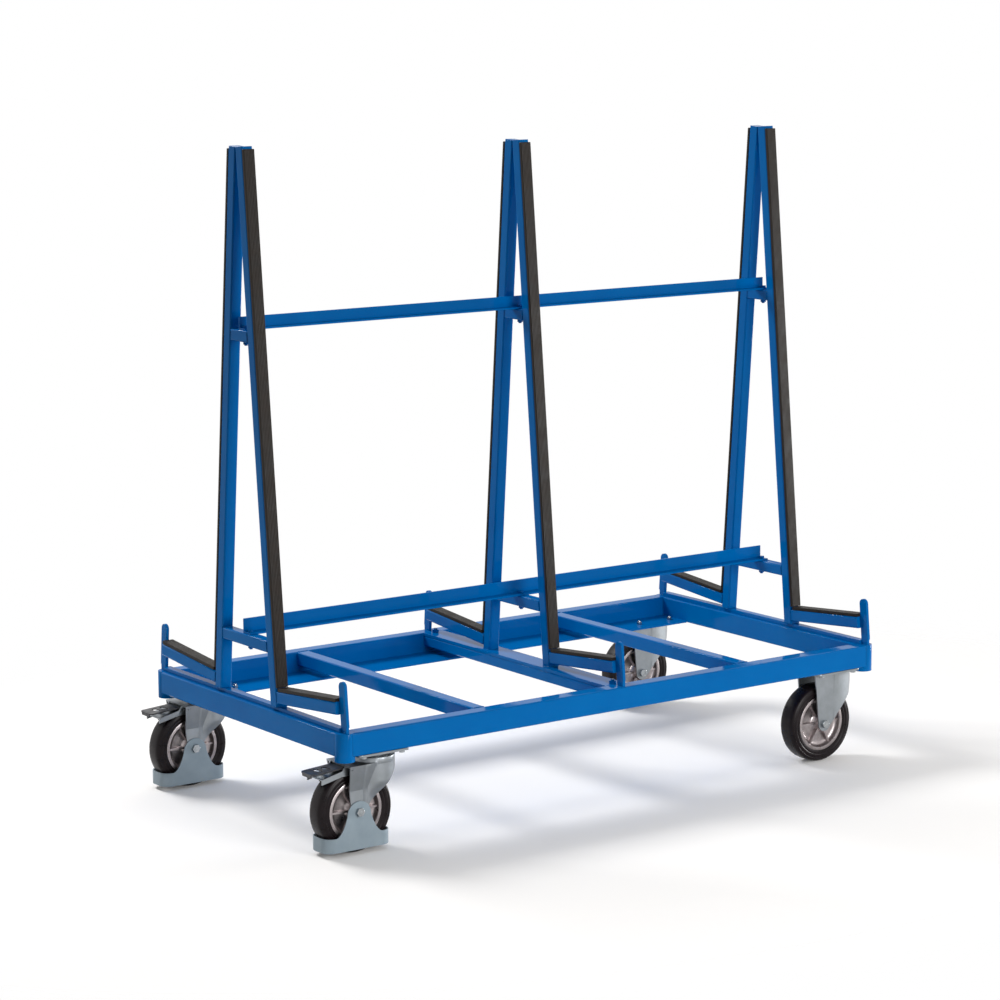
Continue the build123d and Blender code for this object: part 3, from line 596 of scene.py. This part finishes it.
# how far the beads stay from the edges, and where a beam runs into the round corner tube, in metres
baseWelds = {"inset": 0.004, "reach": 0.0315, "proud": 0.0014, "sunk": 0.0004}
lines, fineLines = [], []
inset, reach = baseWelds["inset"], baseWelds["reach"]
frontLow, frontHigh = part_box("front_beam")
inner, outer = -frontHigh.y, -frontLow.y
tubeLow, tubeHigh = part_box("corner_tubes")
seamHeights = (frontLow.z + inset, tubeHigh.z - inset)
for label in ("left_cross_beam", "middle_cross_beam", "right_cross_beam"):
    low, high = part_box(label)
    for side in (-1, 1):
        for x in (low.x, high.x):
            lines.append([(x, side * inner, low.z + inset), (x, side * inner, high.z - inset)])
        lines.append([(low.x + inset, side * inner, high.z), (high.x - inset, side * inner, high.z)])
for low, high in (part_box("left_end_beam"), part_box("right_end_beam")):
    x = high.x if low.x < 0 else low.x
    for side in (-1, 1):
        lines.append([(x, side * inner, z) for z in seamHeights])
for side in (-1, 1):
    for tube, way in ((tubeLow.x, 1), (tubeHigh.x, -1)):
        fineLines.append([(tube + way * reach, side * (outer - baseWelds["sunk"]), z) for z in seamHeights])
        fineLines.append([(tube + way * baseWelds["proud"], side * (-tubeLow.y - reach), z) for z in seamHeights])
addWelds("baseWelds", lines, weldShape["radius"])
addWelds("cornerWelds", fineLines, weldShape["seamRadius"])
print("welds made")

# a small pale floor that keeps the shadow and fades into the white backdrop
studioFloor = {
    "reach": (2.5, 1.85), "fade": (0.62, 0.96), "hex": "#F7F5F3", "roughness": 0.9, "specular": 0.1, "lift": 0.05,
}
floorMesh = bpy.data.meshes.new("studioFloor")
reachX, reachY = studioFloor["reach"]
floorMesh.from_pydata(
    [(-reachX, -reachY, 0), (reachX, -reachY, 0), (reachX, reachY, 0), (-reachX, reachY, 0)], [], [(0, 1, 2, 3)],
)
floor = bpy.data.objects.new("studioFloor", floorMesh)
bpy.context.scene.collection.objects.link(floor)
floorPaint = bpy.data.materials.new("paintedFloor")
floorPaint.use_nodes = True
floorTree = floorPaint.node_tree
floorShader = floorTree.nodes["Principled BSDF"]
floorShader.inputs["Base Color"].default_value = linearColour(studioFloor["hex"])
floorShader.inputs["Roughness"].default_value = studioFloor["roughness"]
floorShader.inputs["Specular IOR Level"].default_value = studioFloor["specular"]
floorShader.inputs["Emission Color"].default_value = linearColour("#FFFFFF")
floorShader.inputs["Emission Strength"].default_value = studioFloor["lift"]
floorPlace = addNode(floorTree, "ShaderNodeTexCoord").outputs["Object"]
floorShare = addNode(floorTree, "ShaderNodeVectorMath", {
    0: floorPlace, 1: (1 / reachX, 1 / reachY, 0),
}, operation="MULTIPLY")
floorRadius = addNode(floorTree, "ShaderNodeVectorMath", {0: floorShare.outputs["Vector"]}, operation="LENGTH")
floorFade = addNode(floorTree, "ShaderNodeMapRange", {
    "Value": floorRadius.outputs["Value"], "From Min": studioFloor["fade"][0], "From Max": studioFloor["fade"][1],
    "To Min": 1.0, "To Max": 0.0,
}, interpolation_type="SMOOTHSTEP")
floorTree.links.new(floorFade.outputs["Result"], floorShader.inputs["Alpha"])
floorMesh.materials.append(floorPaint)

# what matt surfaces get from around: a pale dome, brighter overhead and on the side away from the camera
studioDome = {
    "low": 0.1, "high": 0.34, "rise": (-0.1, 0.75), "backdrop": 0.75, "spread": (0.1, 0.75),
    "way": (0.578, 0.816, 0.0),
}
world = bpy.data.worlds.new("studioWorld")
bpy.context.scene.world = world
world.use_nodes = True
sky = world.node_tree
white = addNode(sky, "ShaderNodeBackground", {"Color": linearColour("#FFFFFF"), "Strength": 1.0})
around = addNode(sky, "ShaderNodeTexCoord").outputs["Generated"]
height = addNode(sky, "ShaderNodeSeparateXYZ", {"Vector": around}).outputs["Z"]
rise = addNode(sky, "ShaderNodeMapRange", {
    "Value": height, "From Min": studioDome["rise"][0], "From Max": studioDome["rise"][1],
    "To Min": studioDome["low"], "To Max": studioDome["high"],
})
facing = addNode(sky, "ShaderNodeVectorMath", {0: around, 1: studioDome["way"]}, operation="DOT_PRODUCT")
behind = addNode(sky, "ShaderNodeMapRange", {
    "Value": facing.outputs["Value"], "From Min": studioDome["spread"][0], "From Max": studioDome["spread"][1],
    "To Min": 0.0, "To Max": studioDome["backdrop"],
})
total = addNode(sky, "ShaderNodeMath", {0: rise.outputs["Result"], 1: behind.outputs["Result"]}, operation="ADD")
studio = sky.nodes["Background"]
studio.inputs["Color"].default_value = linearColour("#FFFFFF")
sky.links.new(total.outputs["Value"], studio.inputs["Strength"])
# the camera and mirrored rays see a plain white backdrop
rays = addNode(sky, "ShaderNodeLightPath").outputs
mirror = addNode(sky, "ShaderNodeMath", {
    0: rays["Is Glossy Ray"], 1: rays["Is Transmission Ray"],
}, operation="MAXIMUM")
seen = addNode(sky, "ShaderNodeMath", {
    0: rays["Is Camera Ray"], 1: mirror.outputs["Value"],
}, operation="MAXIMUM")
choice = addNode(sky, "ShaderNodeMixShader", {
    0: seen.outputs["Value"], 1: studio.outputs["Background"], 2: white.outputs["Background"],
})
sky.links.new(choice.outputs["Shader"], sky.nodes["World Output"].inputs["Surface"])

# places, aims and sizes in metres, power in watts
lamps = [
    {"name": "rearKey", "place": (-1.7, 3.6, 4.2), "aim": (0, 0, 0.5), "size": (1.8, 1.8), "power": 215.0},
    {"name": "frontFill", "place": (0.4, -5.8, 1.9), "aim": (0, 0, 0.5), "size": (2.4, 2.4), "power": 190.0},
    {"name": "sidePanel", "place": (6.2, -1.7, 0.6), "aim": (0, -0.3, 0.2), "size": (2.8, 1.1), "power": 215.0},
]
for lamp in lamps:
    data = bpy.data.lights.new(lamp["name"], "AREA")
    data.shape = "RECTANGLE"
    data.size, data.size_y = lamp["size"]
    data.energy = lamp["power"]
    fitting = bpy.data.objects.new(lamp["name"], data)
    fitting.location = lamp["place"]
    fitting.rotation_mode = "QUATERNION"
    fitting.rotation_quaternion = (Vector(lamp["aim"]) - Vector(lamp["place"])).to_track_quat("-Z", "Y")
    bpy.context.scene.collection.objects.link(fitting)

# angles in radians, focal length in pixels of a picture 1000 pixels wide
photoCamera = {
    "place": (-4.39449, -6.16040, 1.93883), "yaw": 0.6167, "pitch": 0.1298, "roll": -0.0081,
    "focal": 3045.88, "width": 1000.0, "shift": -0.100, "sensor": 36.0, "clip": 200.0,
}
yaw, pitch, roll = photoCamera["yaw"], photoCamera["pitch"], photoCamera["roll"]
ahead = Vector((math.sin(yaw) * math.cos(pitch), math.cos(yaw) * math.cos(pitch), -math.sin(pitch)))
flat = Vector((math.cos(yaw), -math.sin(yaw), 0.0))
above = flat.cross(ahead)
right = math.cos(roll) * flat + math.sin(roll) * above
above = math.cos(roll) * above - math.sin(roll) * flat
cameraData = bpy.data.cameras.new("photoCamera")
cameraData.sensor_fit = "HORIZONTAL"
cameraData.sensor_width = photoCamera["sensor"]
cameraData.lens = photoCamera["focal"] * photoCamera["sensor"] / photoCamera["width"]
cameraData.shift_y = photoCamera["shift"]
cameraData.clip_end = photoCamera["clip"]
camera = bpy.data.objects.new("photoCamera", cameraData)
camera.matrix_world = Matrix((
    (right.x, above.x, -ahead.x, photoCamera["place"][0]),
    (right.y, above.y, -ahead.y, photoCamera["place"][1]),
    (right.z, above.z, -ahead.z, photoCamera["place"][2]),
    (0, 0, 0, 1),
))
bpy.context.scene.collection.objects.link(camera)
bpy.context.scene.camera = camera
bpy.context.scene.view_settings.view_transform = "Standard"
print("studio made")
